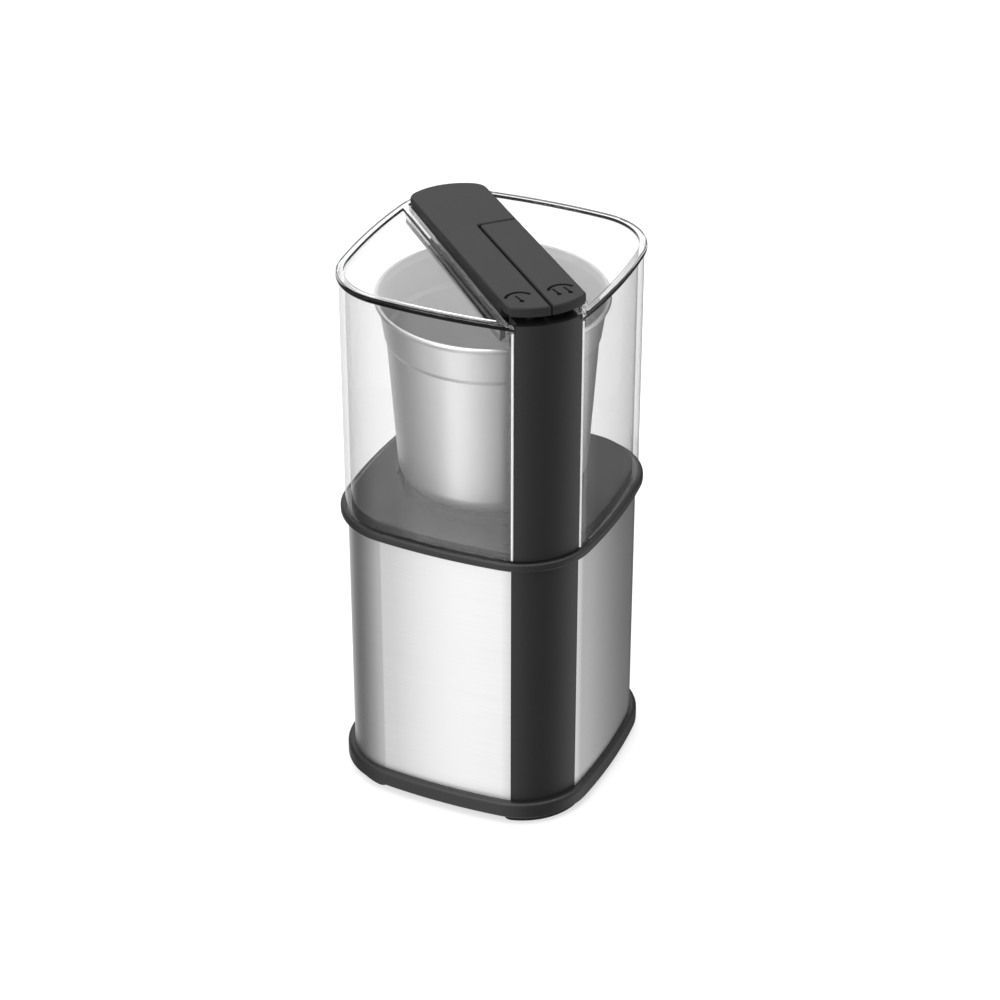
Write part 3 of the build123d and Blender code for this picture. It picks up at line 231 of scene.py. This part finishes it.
def brushed(name, scale, dark, light, rough, strength=0.05, anisotropy=0.5):
    """Sheet brushed round the upright axis: noise drawn out along the brushing."""
    finish = Finish(name)
    lines = finish.noise(finish.place(scale), 1.0, BRUSH_DETAIL, BRUSH_RAGGED)
    finish.set(Metallic=1.0)
    finish.brush(anisotropy)
    finish.feed(
        Base_Color=finish.tones(lines, dark, light),
        Roughness=finish.spread(lines, *rough),
        Normal=finish.bump(lines, strength, BRUSH_DEPTH),
    )
    return finish.material


def spun(name, scale, outside, inside, rough_outside, rough_inside, strength=0.02, anisotropy=0.5):
    """Spun cup, satin outside and blasted matt inside."""
    finish = Finish(name)
    where = finish.node("ShaderNodeTexCoord")
    outward = finish.node("ShaderNodeVectorMath", operation="MULTIPLY")
    outward.inputs[1].default_value = (1, 1, 0)
    finish.link(where.outputs["Object"], outward.inputs[0])
    facing = finish.node("ShaderNodeVectorMath", operation="DOT_PRODUCT")
    finish.link(where.outputs["Normal"], facing.inputs[0])
    finish.link(outward.outputs["Vector"], facing.inputs[1])
    side = finish.reckon("GREATER_THAN", facing.outputs["Value"], 0)
    lines = finish.noise(finish.place(scale), 1.0, FINE_DETAIL, SPUN_RAGGED)
    blast = finish.noise(finish.place(), BLAST_GRAIN)
    rough = finish.node("ShaderNodeMix", data_type="FLOAT")
    finish.link(side, rough.inputs["Factor"])
    finish.link(finish.spread(blast, *rough_inside), rough.inputs["A"])
    finish.link(finish.spread(lines, *rough_outside), rough.inputs["B"])
    finish.brush(anisotropy)
    finish.feed(
        Base_Color=finish.tones(side, inside, outside),
        Metallic=finish.spread(side, BLAST_METAL, 1.0),
        Roughness=rough.outputs["Result"],
        Normal=finish.bump(lines, strength, BRUSH_DEPTH),
    )
    return finish.material


def metal(name, dark, light, rough, strength=0.04):
    """Plain turned or plated metal with a light handling texture."""
    finish = Finish(name)
    place = finish.place()
    fine = finish.noise(place, METAL_GRAIN, FINE_DETAIL)
    patch = finish.noise(place, METAL_PATCHES)
    finish.set(Metallic=1.0)
    finish.feed(
        Base_Color=finish.tones(patch, dark, light),
        Roughness=finish.spread(fine, *rough),
        Normal=finish.bump(fine, strength, METAL_DEPTH),
    )
    return finish.material


def clear(name, tint, rough, least):
    """Clear moulded walls: light goes straight through, and the gloss grows towards a slant."""
    finish = Finish(name)
    slant = finish.node("ShaderNodeLayerWeight", Blend=0.5)
    steep = finish.reckon("POWER", slant.outputs["Facing"], GLOSS_POWER)
    finish.set(Base_Color=WHITE, Metallic=1.0, Roughness=rough)
    finish.blend(finish.spread(steep, least, 1.0), finish.film(tint), finish.shader.outputs["BSDF"])
    return finish.material


def bent(name, tint, rough):
    """Clear moulded edges that bend what is seen through them, and let lamps through."""
    finish = Finish(name)
    finish.set(Base_Color=tint, Roughness=rough, IOR=PLASTIC_IOR, Transmission_Weight=1.0)
    path = finish.node("ShaderNodeLightPath")
    finish.blend(path.outputs["Is Shadow Ray"], finish.shader.outputs["BSDF"], finish.film(tint))
    return finish.material


def frosted(name, tone, rough, clearness):
    """Milky cut edge of a clear wall, whose white is partly a painted highlight."""
    finish = Finish(name)
    haze = finish.noise(finish.place(), HAZE_GRAIN)
    finish.set(Base_Color=tone, IOR=PLASTIC_IOR, Transmission_Weight=clearness)
    finish.feed(Roughness=finish.spread(haze, *rough))
    return finish.material


def rubber(name, dark, light, rough, gloss=0.3, strength=0.15):
    """Matt rubber with a fine grain."""
    finish = Finish(name)
    fine = finish.noise(finish.place(), RUBBER_GRAIN, FINE_DETAIL)
    finish.set(Specular_IOR_Level=gloss)
    finish.feed(
        Base_Color=finish.tones(fine, dark, light),
        Roughness=finish.spread(fine, *rough),
        Normal=finish.bump(fine, strength, PLASTIC_DEPTH),
    )
    return finish.material


def wound(name, dark, light, rough, strength=0.4):
    """Enamelled copper wire laid side by side."""
    finish = Finish(name)
    wave = finish.node("ShaderNodeTexWave", Scale=WIRE_BANDS, Distortion=WIRE_WAVER, bands_direction="Z")
    finish.link(finish.place(), wave.inputs["Vector"])
    wire = wave.outputs["Fac"]
    finish.set(Metallic=1.0)
    finish.feed(
        Base_Color=finish.tones(wire, dark, light),
        Roughness=finish.spread(wire, *rough),
        Normal=finish.bump(wire, strength, PLASTIC_DEPTH),
    )
    return finish.material


BLACK = moulded("satin_black", dark=grey(24), light=grey(28), gloss=0.47)
ARM = moulded("satin_grey", dark=grey(35), light=grey(39), rough=(0.42, 0.55), gloss=0.2)
INNER = moulded("inner_plastic", dark=grey(70), light=grey(78), rough=(0.5, 0.6))
CARBON = moulded(
    "pressed_carbon",
    dark=grey(36),
    light=grey(52),
    rough=(0.55, 0.7),
    grain=CARBON_GRAIN,
    strength=0.2,
)
MARK_INK = moulded("mark_ink", dark=grey(8), light=grey(12), rough=(0.8, 0.9), gloss=0.05)
CLEAR = clear("clear_plastic", tint=even(0.985), rough=0.02, least=0.062)
# Painted shade: a nearly black film on the rim bead's outline, standing in for the dark lines its
# refraction shows
PAINTED_RIM_SHADE = clear("rim_painted_shade", tint=even(0.03), rough=0.02, least=0.01)
BENT = bent("clear_edges", tint=even(0.985), rough=0.0)
# Partly painted highlight: the edges' milky white stands in for the light the cut catches
MILKY_EDGE_HIGHLIGHT = frosted("milky_edge_highlight", tone=even(0.95), rough=(0.3, 0.4), clearness=0.3)
SLEEVE = brushed(
    "brushed_sleeve",
    scale=(30, 30, 2400),
    dark=grey(204),
    light=grey(218),
    rough=(0.32, 0.4),
    strength=0.04,
    anisotropy=0.85,
)
CUP = spun(
    "spun_cup",
    scale=(40, 40, 1800),
    outside=grey(212),
    inside=grey(168),
    rough_outside=(0.34, 0.42),
    rough_inside=(0.55, 0.65),
)
LAMINATED = brushed(
    "laminated_steel",
    scale=(60, 60, 1500),
    dark=grey(90),
    light=grey(130),
    rough=(0.4, 0.55),
    anisotropy=0.0,
)
POLISHED = metal("polished_steel", dark=grey(188), light=grey(206), rough=(0.12, 0.22))
ZINC = metal("zinc_steel", dark=grey(170), light=grey(190), rough=(0.3, 0.42))
BRASS_DARK = (0.55, 0.36, 0.11, 1.0)
BRASS_LIGHT = (0.62, 0.42, 0.14, 1.0)
BRASS = metal("turned_brass", BRASS_DARK, BRASS_LIGHT, rough=(0.22, 0.34))
COPPER_DARK = (0.38, 0.12, 0.05, 1.0)
COPPER_LIGHT = (0.62, 0.26, 0.12, 1.0)
COPPER = wound("enamelled_copper", COPPER_DARK, COPPER_LIGHT, rough=(0.3, 0.5))
RUBBER = rubber("black_rubber", dark=grey(24), light=grey(34), rough=(0.65, 0.85))

LOOKS = {
    "satin_black_plastic": BLACK,
    "satin_grey_plastic": ARM,
    "clear_plastic": CLEAR,
    "brushed_steel": SLEEVE,
    "polished_steel": POLISHED,
    "zinc_steel": ZINC,
    "electrical_steel": LAMINATED,
    "copper": COPPER,
    "brass": BRASS,
    "carbon": CARBON,
    "black_rubber": RUBBER,
    "inner_plastic": INNER,
}
OWN_LOOKS = {"grinding_cup": CUP}
for node, slot in SLOTS.items():
    looks = NODES[node].data.materials
    looks.clear()
    looks.append(OWN_LOOKS.get(node, LOOKS[slot]))

# Lid: plain clear walls and slot, a rim and trough that bend the view, and painted shade on the rim
# bead's outline
WALL_LOOK, EDGE_LOOK, PAINTED_BEAD_LOOK = range(3)
EDGE_DEPTH = 0.0090
BEAD_HEIGHT = 0.0026
BEAD_LEAN = 0.35
SHADE_BELOW = 0.25
SHADE_ABOVE = 0.80
SLOT_DROP = 0.0027
SLOT_LAP = 0.0012
lid = NODES["lid_shell"].data
lid.materials.append(BENT)
lid.materials.append(PAINTED_RIM_SHADE)
lid_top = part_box("lid_shell")[1][2]
pillar_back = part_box("front_pillar")[1][1]
for face in lid.polygons:
    outward = face.normal.x * face.center.x + face.normal.y * face.center.y
    lean = outward / math.hypot(face.center.x, face.center.y)
    shaded = face.normal.z < SHADE_BELOW or face.normal.z > SHADE_ABOVE
    depth = lid_top - face.center.z
    on_slot = face.center.y < pillar_back - SLOT_LAP and depth > SLOT_DROP
    # Outward faces at the top of the rim bead, upright or nearly flat, get the painted shade
    if depth < BEAD_HEIGHT and lean > BEAD_LEAN and shaded:
        face.material_index = PAINTED_BEAD_LOOK
    elif depth < EDGE_DEPTH and not on_slot:
        face.material_index = EDGE_LOOK
    else:
        face.material_index = WALL_LOOK

# Marks on the two keys: an arc over one stem for a steady grind, over two stems for pulses
GRIND_MARK_CENTRE = (-0.0082, -0.0476)
PULSE_MARK_CENTRE = (0.0078, -0.0472)
MARK_RADIUS = 0.0050
MARK_STROKE = 0.0012
MARK_SPREAD = math.radians(66)
MARK_RISE = 0.00004
STEM_LENGTH = 0.0046
STEM_SPACING = 0.0042
STEM_STROKE = 0.0007
STEM_LEAN = 0.0007
STEM_DROP = 0.0019
DOT_RADIUS = 0.0009
CURVE_STEPS = 20
CLEAR_OF_ALL = 0.5


def arc_points(centre, radius, start, stop, steps=CURVE_STEPS):
    """Points on an arc in the XY plane, from one angle to another."""
    turn = (stop - start) / steps
    return [
        centre + radius * Vector((math.cos(start + turn * step), math.sin(start + turn * step)))
        for step in range(steps + 1)
    ]


def circle_points(centre, radius, steps=CURVE_STEPS):
    """Points on a full circle in the XY plane."""
    return arc_points(centre, radius, 0, FULL_TURN, steps)[:-1]


def arch(centre):
    """A curved stroke over a point."""
    low = math.pi / 2 - MARK_SPREAD
    high = math.pi / 2 + MARK_SPREAD
    outer = arc_points(centre, MARK_RADIUS + MARK_STROKE / 2, low, high)
    inner = arc_points(centre, MARK_RADIUS - MARK_STROKE / 2, high, low)
    return outer + inner


def pin_mark(foot):
    """A leaning stem that ends in a dot."""
    neck = math.asin(STEM_STROKE / 2 / DOT_RADIUS)
    start = math.pi / 2 + neck
    dot = arc_points(foot, DOT_RADIUS, start, start + FULL_TURN - 2 * neck)
    tip = foot + Vector((-STEM_LEAN, STEM_LENGTH))
    half = Vector((STEM_STROKE / 2, 0))
    return dot + [tip + half, tip - half]


def closed(name, shape):
    """A piece of the scene from a shape that has all its faces."""
    bmesh.ops.recalc_face_normals(shape, faces=shape.faces)
    mesh = bpy.data.meshes.new(name)
    shape.to_mesh(mesh)
    shape.free()
    return show(name, mesh)


def plate(name, outlines, low, high):
    """Closed flat pieces between two heights."""
    shape = bmesh.new()
    for outline in outlines:
        face = shape.faces.new([shape.verts.new((point.x, point.y, low)) for point in outline])
        made = bmesh.ops.extrude_face_region(shape, geom=[face])
        raised = [item for item in made["geom"] if isinstance(item, bmesh.types.BMVert)]
        bmesh.ops.translate(shape, verts=raised, vec=(0, 0, high - low))
    return closed(name, shape)


def surface(node, start, heading):
    """Where a line first meets a piece, and the way its surface faces there."""
    piece = NODES[node]
    inward = piece.matrix_world.inverted()
    turned = inward.to_3x3() @ Vector(heading)
    hit, point, normal, _ = piece.ray_cast(inward @ Vector(start), turned)
    assert hit, node
    return piece.matrix_world @ point, (piece.matrix_world.to_3x3() @ normal).normalized()


def key_mark(name, key, centre, stems):
    """A mark on the sloping top of a key, turned to read from the front."""
    first = -(stems - 1) / 2 * STEM_SPACING
    feet = [Vector((first + step * STEM_SPACING, -STEM_DROP)) for step in range(stems)]
    outlines = [arch(ORIGIN)] + [pin_mark(foot) for foot in feet]
    mark = plate(name, outlines, -MARK_RISE, MARK_RISE)
    seat, facing = surface(key, (*centre, CLEAR_OF_ALL), -UP)
    tilt = UP.rotation_difference(facing)
    mark.data.transform(Matrix.Translation(seat) @ tilt.to_matrix().to_4x4())
    mark.data.materials.append(MARK_INK)
    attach(mark, key)


key_mark("grind_mark", "grind_lever", GRIND_MARK_CENTRE, stems=1)
key_mark("pulse_mark", "pulse_key", PULSE_MARK_CENTRE, stems=2)

# Milky edges of the clear wall beside the pillar: partly the cut's own haze, partly a painted highlight
# where the cut catches the light
EDGE_RADIUS = 0.00045
EDGE_DROP = 0.003


def wall_edge(name, side):
    """A slim upright bead on the clear wall, from its foot up to the rim."""
    low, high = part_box("front_pillar")
    x = side * (high[0] + EDGE_RADIUS)
    foot = low[2] + EDGE_RADIUS
    top = high[2] - EDGE_DROP
    seat, _ = surface("lid_shell", (x, -CLEAR_OF_ALL, (foot + top) / 2), (0, 1, 0))
    rim = circle_points(Vector((x, seat.y)), EDGE_RADIUS)
    edge = plate(name, [rim], foot, top)
    edge.data.materials.append(MILKY_EDGE_HIGHLIGHT)
    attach(edge, "lid")


wall_edge("left_wall_edge", -1)
wall_edge("right_wall_edge", 1)

# Springs round the push rods and the leaves on the switches, which give way as the keys go down; here
# they keep their rest shape
SPRING_TURNS = 15
SPRING_WIRE = 0.0006
TURN_STEPS = 20
WIRE_SIDES = 8


def height(node):
    """Height of a piece at rest."""
    low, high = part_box(node)
    return high[2] - low[2]


def coil(name, node):
    """A helical spring that fills the place of a sleeve."""
    low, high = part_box(node)
    axis = Vector(((low[0] + high[0]) / 2, (low[1] + high[1]) / 2, low[2] + SPRING_WIRE / 2))
    radius = (high[0] - low[0] - SPRING_WIRE) / 2
    rise = height(node) - SPRING_WIRE
    section = circle_points(ORIGIN, SPRING_WIRE / 2, WIRE_SIDES)
    steps = SPRING_TURNS * TURN_STEPS
    shape = bmesh.new()
    rings = []
    for step in range(steps + 1):
        angle = FULL_TURN * step / TURN_STEPS
        out = Vector((math.cos(angle), math.sin(angle), 0))
        centre = axis + radius * out + rise * step / steps * UP
        rings.append([shape.verts.new(centre + point.x * out + point.y * UP) for point in section])
    for first, second in zip(rings, rings[1:]):
        for side in range(WIRE_SIDES):
            after = (side + 1) % WIRE_SIDES
            shape.faces.new((first[side], first[after], second[after], second[side]))
    shape.faces.new(rings[0])
    shape.faces.new(rings[-1])
    return closed(name, shape)


def give_way(piece, node, body):
    """Let a piece stand for a node: give it the node's look, hang it on a body, hide the node and give
    the piece a mesh of its own.
    """
    piece.data.materials.clear()
    piece.data.materials.append(LOOKS[SLOTS[node]])
    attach(piece, body)
    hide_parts(node)
    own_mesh(piece)


for key in ("grind", "pulse"):
    sleeve = f"{key}_rod_spring"
    spring = coil(f"{key}_coil_spring", sleeve)
    give_way(spring, sleeve, "lid")
    strip = f"{key}_switch_leaf"
    leaf = show(f"{key}_leaf", NODES[strip].data.copy())
    give_way(leaf, strip, "base")

# Floor, partly lit from below as a light table is, and left out of reflections
FLOOR_SIZE = 6.0
FLOOR_LIGHT = 0.45
FLOOR_ROUGH = 0.9
FLOOR_GLOW = 0.6
bpy.ops.mesh.primitive_plane_add(size=FLOOR_SIZE, location=(0, 0, 0))
floor = bpy.context.object
floor.name = "floor"
ground = Finish("pale_floor")
ground.set(Base_Color=even(FLOOR_LIGHT), Roughness=FLOOR_ROUGH, Specular_IOR_Level=0.0)
ground.set(Emission_Color=WHITE, Emission_Strength=FLOOR_GLOW)
path = ground.node("ShaderNodeLightPath")
ground.blend(path.outputs["Glossy Depth"], ground.shader.outputs["BSDF"], ground.film(WHITE))
floor.data.materials.append(ground.material)

# Studio: a ring of light and dark panels, as compass angle in degrees and brightness
PANELS = (
    (-180, 0.70),
    (-173, 0.72),
    (-170, 0.78),
    (-165, 1.50),
    (-154, 1.50),
    (-141, 1.12),
    (-126, 0.90),
    (-109, 0.45),
    (-92, 0.20),
    (-60, 0.20),
    (-10, 1.25),
    (4, 1.02),
    (15, 0.16),
    (45, 0.10),
    (62, 0.20),
    (87, 0.95),
    (125, 0.17),
    (140, 0.18),
    (165, 0.46),
    (180, 0.70),
)
BRIGHTEST = max(light for angle, light in PANELS)
HALF_CIRCLE = 180
world = bpy.data.worlds.new("studio")
bpy.context.scene.world = world
world.use_nodes = True
studio = Net(world.node_tree, "World Output")
backdrop = studio.tree.nodes["Background"]
backdrop.inputs["Strength"].default_value = BRIGHTEST
toward = studio.node("ShaderNodeTexCoord")
parts = studio.node("ShaderNodeSeparateXYZ")
compass = studio.node("ShaderNodeMath", operation="ARCTAN2")
turn = studio.node("ShaderNodeMapRange", From_Min=-math.pi, From_Max=math.pi)
ring = studio.node("ShaderNodeValToRGB")
stops = ring.color_ramp.elements
for angle, light in PANELS[1:-1]:
    stops.new((angle + HALF_CIRCLE) / (2 * HALF_CIRCLE)).color = even(light / BRIGHTEST)
stops[0].color = even(PANELS[0][1] / BRIGHTEST)
stops[-1].color = even(PANELS[-1][1] / BRIGHTEST)
studio.link(toward.outputs["Generated"], parts.inputs["Vector"])
studio.link(parts.outputs["Y"], compass.inputs[0])
studio.link(parts.outputs["X"], compass.inputs[1])
studio.link(compass.outputs["Value"], turn.inputs["Value"])
studio.link(turn.outputs["Result"], ring.inputs["Fac"])
studio.link(ring.outputs["Color"], backdrop.inputs["Color"])

# What the camera sees past the floor is plain white
plain = studio.node("ShaderNodeBackground", Color=WHITE)
sight = studio.node("ShaderNodeLightPath")
studio.blend(sight.outputs["Is Camera Ray"], backdrop.outputs["Background"], plain.outputs["Background"])


def softbox(name, place, aim, size, power):
    """A rectangular lamp that faces a point."""
    lamp = bpy.data.lights.new(name, "AREA")
    lamp.shape = "RECTANGLE"
    lamp.size, lamp.size_y = size
    lamp.energy = power
    made = show(name, lamp)
    made.location = place
    made.rotation_euler = (Vector(aim) - Vector(place)).to_track_quat("-Z", "Y").to_euler()


softbox("overhead", place=(0, 0, 1.7), aim=(0, 0, 0), size=(2.2, 2.2), power=34.0)
softbox("key_left", place=(-1.1, -0.7, 0.9), aim=(0, 0, 0.12), size=(0.8, 1.0), power=7.0)
softbox("lid_sheen", place=(0.49, 1.28, 1.03), aim=(0, 0, 0.21), size=(0.7, 0.7), power=2.2)

# Camera of the photograph, with its place in metres and its film width in millimetres
EYE = Vector((-0.3255, -0.8551, 0.6640))
AZIMUTH = math.radians(-21.0)
ELEVATION = math.radians(31.19)
FOCAL_SHARE = 2.8369
SENSOR = 36.0
NEAREST = 0.01
CLEAR_LAYERS = 24
lens = bpy.data.cameras.new("photo_camera")
lens.sensor_fit = "HORIZONTAL"
lens.sensor_width = SENSOR
lens.lens = FOCAL_SHARE * SENSOR
lens.clip_start = NEAREST
camera = show("photo_camera", lens)
right = Vector((math.cos(AZIMUTH), math.sin(AZIMUTH), 0))
tilt = math.sin(ELEVATION)
up = Vector((-tilt * math.sin(AZIMUTH), tilt * math.cos(AZIMUTH), math.cos(ELEVATION)))
back = right.cross(up)
camera.matrix_world = Matrix.Translation(EYE) @ Matrix((right, up, back)).transposed().to_4x4()
bpy.context.scene.camera = camera
bpy.context.scene.view_settings.view_transform = "Standard"
bpy.context.scene.cycles.transparent_max_bounces = CLEAR_LAYERS
